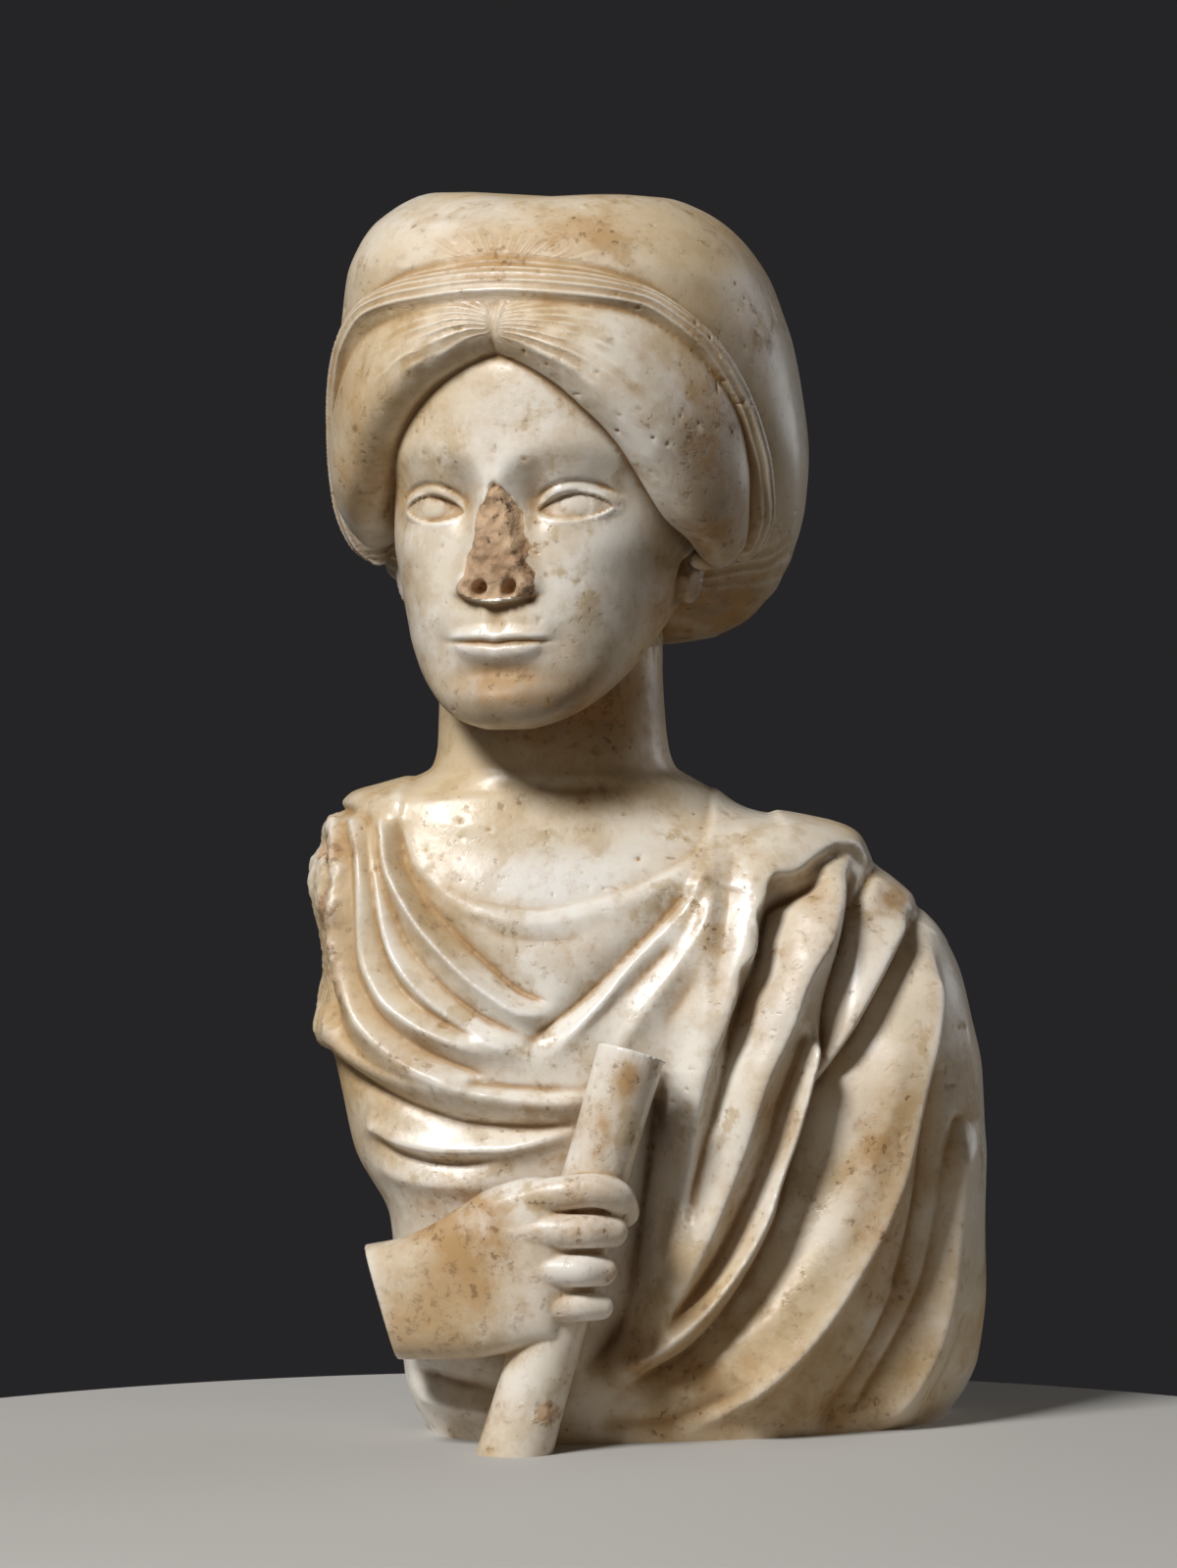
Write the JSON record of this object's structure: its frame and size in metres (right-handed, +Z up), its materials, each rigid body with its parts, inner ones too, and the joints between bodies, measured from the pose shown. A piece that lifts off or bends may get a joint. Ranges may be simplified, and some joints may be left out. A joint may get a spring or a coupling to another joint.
{
  "type": "marble portrait bust",
  "caption": "Carved marble bust of a woman with a turban-like hairstyle and a draped mantle, her right hand gripping a rolled scroll; stands on its flat sawn underside.",
  "frame": {"origin": "on the flat underside, below the middle of the bust", "axes": "+Z up, -Y the way the chest faces, +X towards the bust's left shoulder"},
  "size_m": [0.2918, 0.2276, 0.5296],
  "materials": {
    "marble": "warm white polished marble with orange-brown patina in the recesses, worn edges and old breaks"
  },
  "bodies": {
    "root": {"marble_bust": "marble"}
  },
  "joints": []
}
